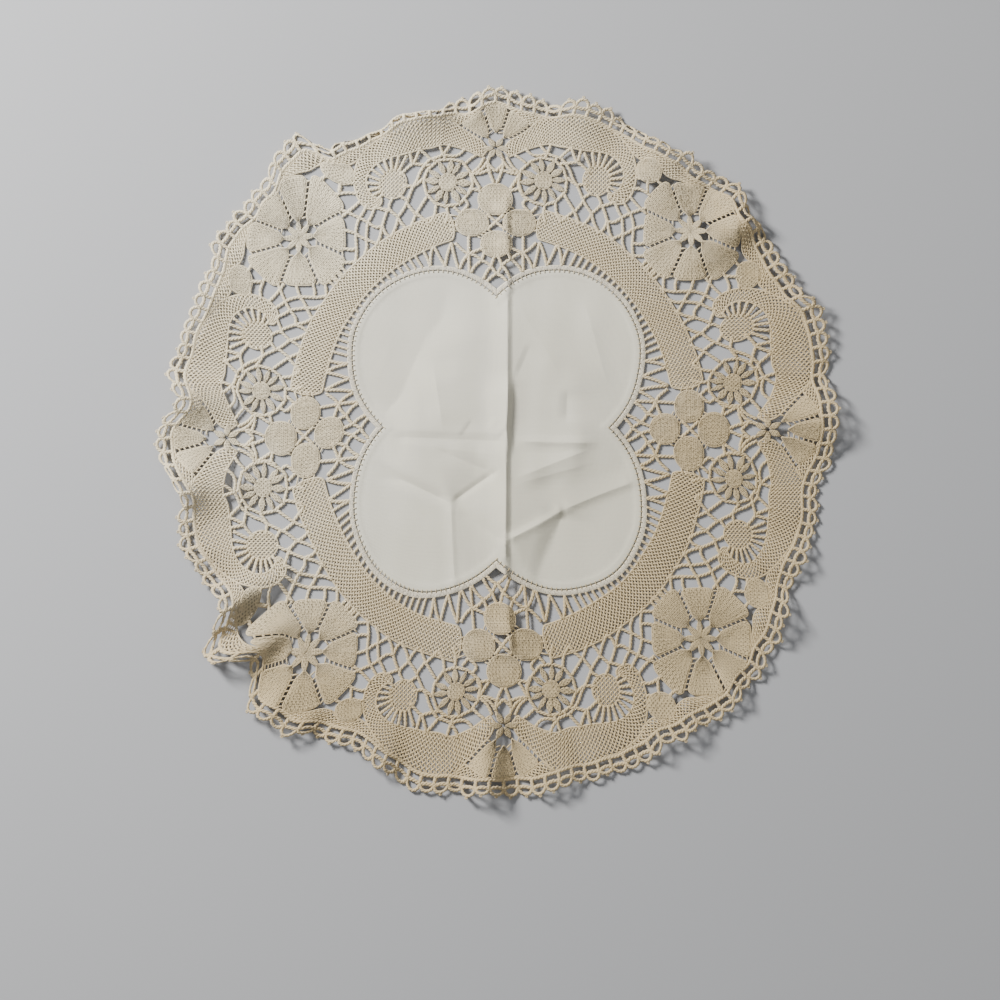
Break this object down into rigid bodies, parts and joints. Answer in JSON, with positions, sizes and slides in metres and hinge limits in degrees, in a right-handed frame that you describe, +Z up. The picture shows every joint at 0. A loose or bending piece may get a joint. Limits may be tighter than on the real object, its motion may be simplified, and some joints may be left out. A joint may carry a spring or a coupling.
{
  "type": "lace doily",
  "caption": "Round bobbin-lace doily with a four-lobed linen centre, lying loosely with a ruffled, partly turned edge.",
  "frame": {"origin": "on the surface it lies on, below the middle of its bounding box", "axes": "+Z up, normal to the laid cloth; +Y towards the fan at the top of the pattern; +X to its right seen from above"},
  "size_m": [0.2959, 0.3064, 0.0076],
  "materials": {
    "linen": "plain woven linen, off-white",
    "lace": "ecru linen thread, matt"
  },
  "bodies": {
    "root": {"linen_centre": "linen", "lace_border": "lace"}
  },
  "joints": []
}
